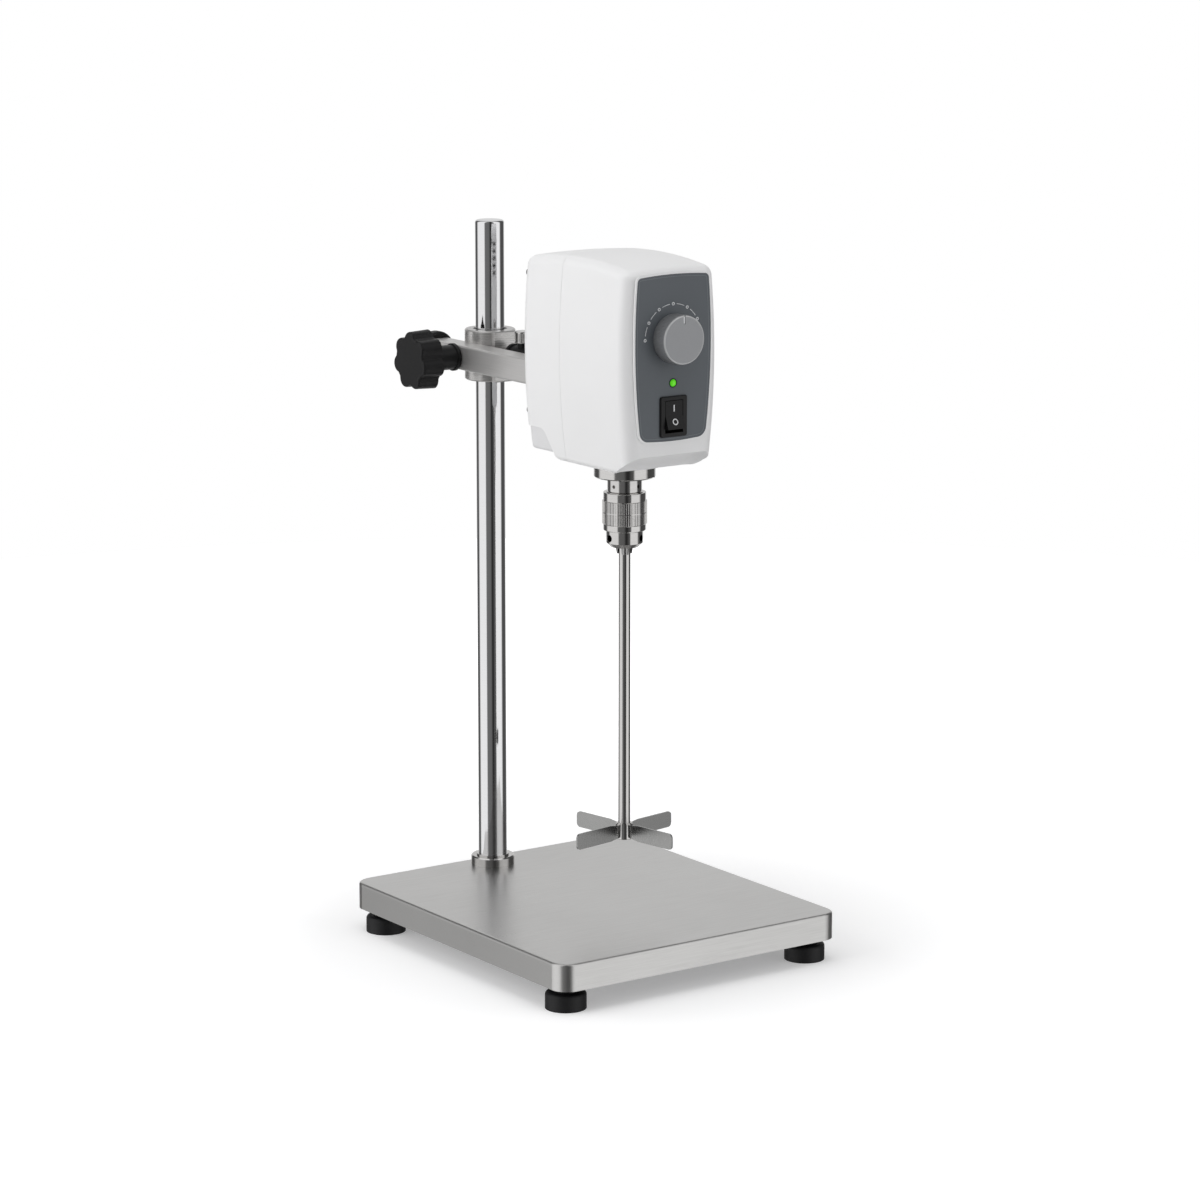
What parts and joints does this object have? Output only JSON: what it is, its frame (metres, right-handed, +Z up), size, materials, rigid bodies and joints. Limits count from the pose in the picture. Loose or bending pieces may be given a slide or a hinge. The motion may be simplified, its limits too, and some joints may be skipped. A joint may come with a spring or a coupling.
{
  "type": "overhead stirrer",
  "caption": "Laboratory overhead stirrer: motor head with keyed chuck and paddle impeller, clamped to a column on a weighted base.",
  "frame": {"origin": "on the bench, under the middle of the outer box's footprint", "axes": "+Z up the column, control panel facing -Y, column at +Y, +X to the right seen from the front"},
  "size_m": [0.228, 0.2812, 0.4905],
  "materials": {
    "stainless": "brushed",
    "iron": "rough",
    "rod_steel": "polished",
    "bright_steel": "satin",
    "dark_steel": "satin",
    "ring_metal": "satin",
    "black_plastic": "matte",
    "white_plastic": "satin",
    "cover_plastic": "matte",
    "panel_blue_grey": "matte",
    "knob_silver": "satin",
    "lamp_green": "gloss",
    "rocker_black": "satin",
    "copper": "enamelled",
    "brass": "turned",
    "magnet": "plated",
    "aluminium": "machined",
    "board_green": "coated"
  },
  "bodies": {
    "stand": {"base_cover": "stainless", "base_core": "iron", "column_rod": "rod_steel", "column_bolt": "dark_steel", "column_collar": "bright_steel"},
    "foot_front_left": {"foot_pad_front_left": "black_plastic", "foot_stud_front_left": "bright_steel"},
    "foot_front_right": {"foot_pad_front_right": "black_plastic", "foot_stud_front_right": "bright_steel"},
    "foot_rear_left": {"foot_pad_rear_left": "black_plastic", "foot_stud_rear_left": "bright_steel"},
    "foot_rear_right": {"foot_pad_rear_right": "black_plastic", "foot_stud_rear_right": "bright_steel"},
    "carriage": {"guide_bush": "black_plastic"},
    "head": {"clamp_ring": "ring_metal", "arm_bar": "bright_steel", "arm_stop": "black_plastic", "support_rod": "bright_steel", "support_collar": "black_plastic", "front_shell": "white_plastic", "rear_shell": "white_plastic", "arm_bracket": "aluminium", "bracket_screws": "dark_steel", "case_screws": "dark_steel", "inlet_cover": "cover_plastic", "power_inlet": "black_plastic", "control_panel": "panel_blue_grey", "potentiometer": "black_plastic", "led_lens": "lamp_green", "switch_body": "black_plastic", "bearing_flange": "bright_steel", "flange_screws": "dark_steel", "bearings": "bright_steel", "motor_frame": "aluminium", "stator_core": "dark_steel", "stator_coils": "copper", "control_board": "board_green", "board_posts": "brass", "board_parts": "black_plastic"},
    "clamp_pad": {"clamp_tip": "brass"},
    "star_knob": {"star_knob": "black_plastic", "clamp_screw": "bright_steel"},
    "lock_screw": {"lock_screw": "bright_steel"},
    "speed_dial": {"speed_knob": "knob_silver", "dial_shaft": "bright_steel"},
    "rocker": {"rocker": "rocker_black"},
    "spindle": {"spindle": "bright_steel", "bearing_races": "bright_steel", "rotor_core": "dark_steel", "rotor_magnets": "magnet", "chuck_body": "bright_steel", "stirring_shaft": "bright_steel", "impeller_hub": "bright_steel", "impeller_blades": "bright_steel"},
    "chuck_sleeve": {"chuck_sleeve": "bright_steel", "chuck_nut": "dark_steel"},
    "jaw_1": {"jaw_1": "dark_steel"},
    "jaw_2": {"jaw_2": "dark_steel"},
    "jaw_3": {"jaw_3": "dark_steel"}
  },
  "joints": [
    {"name": "foot_front_left_slide", "type": "slide", "parent": "stand", "child": "foot_front_left", "axis": [0, 0, 1], "range_m": [-0.004, 0]},
    {"name": "foot_front_right_slide", "type": "slide", "parent": "stand", "child": "foot_front_right", "axis": [0, 0, 1], "range_m": [-0.004, 0]},
    {"name": "foot_rear_left_slide", "type": "slide", "parent": "stand", "child": "foot_rear_left", "axis": [0, 0, 1], "range_m": [-0.004, 0]},
    {"name": "foot_rear_right_slide", "type": "slide", "parent": "stand", "child": "foot_rear_right", "axis": [0, 0, 1], "range_m": [-0.004, 0]},
    {"name": "head_height", "type": "slide", "parent": "stand", "child": "carriage", "axis": [0, 0, 1], "range_m": [-0.045, 0.07]},
    {"name": "head_swivel", "type": "hinge", "parent": "carriage", "child": "head", "pos_m": [-0.0086, 0.0996, 0.398], "axis": [0, 0, 1], "continuous": true},
    {"name": "clamp_pad_slide", "type": "slide", "parent": "head", "child": "clamp_pad", "axis": [-1, 0, 0], "range_m": [0, 0.0025]},
    {"name": "star_knob_turn", "type": "hinge", "parent": "clamp_pad", "child": "star_knob", "pos_m": [-0.06, 0.0996, 0.398], "axis": [-1, 0, 0], "range_deg": [0, 720]},
    {"name": "lock_screw_turn", "type": "hinge", "parent": "head", "child": "lock_screw", "pos_m": [-0.0086, 0.0586, 0.41], "axis": [0, 0, 1], "range_deg": [0, 360]},
    {"name": "speed_dial_turn", "type": "hinge", "parent": "head", "child": "speed_dial", "pos_m": [-0.0086, -0.1211, 0.433], "axis": [0, -1, 0], "range_deg": [-90, 90]},
    {"name": "rocker_tilt", "type": "hinge", "parent": "head", "child": "rocker", "pos_m": [-0.0086, -0.1116, 0.3819], "axis": [1, 0, 0], "range_deg": [0, 20]},
    {"name": "spindle_spin", "type": "hinge", "parent": "head", "child": "spindle", "pos_m": [-0.0086, -0.0611, 0.3], "axis": [0, 0, 1], "continuous": true},
    {"name": "sleeve_turn", "type": "hinge", "parent": "spindle", "child": "chuck_sleeve", "pos_m": [-0.0086, -0.0611, 0.31], "axis": [0, 0, -1], "range_deg": [0, 1080]},
    {"name": "jaw_1_slide", "type": "slide", "parent": "spindle", "child": "jaw_1", "axis": [0.2079, 0, 0.9781], "range_m": [0, 0.0048]},
    {"name": "jaw_2_slide", "type": "slide", "parent": "spindle", "child": "jaw_2", "axis": [-0.104, 0.1801, 0.9781], "range_m": [0, 0.005]},
    {"name": "jaw_3_slide", "type": "slide", "parent": "spindle", "child": "jaw_3", "axis": [-0.104, -0.1801, 0.9781], "range_m": [0, 0.005]}
  ],
  "couplings": [
    {"joint": "star_knob_turn", "follows": "clamp_pad_slide", "rad_per_m": 5026.5},
    {"joint": "sleeve_turn", "follows": "jaw_1_slide", "rad_per_m": 3926.9},
    {"joint": "jaw_2_slide", "follows": "jaw_1_slide", "ratio": 1},
    {"joint": "jaw_3_slide", "follows": "jaw_1_slide", "ratio": 1}
  ]
}
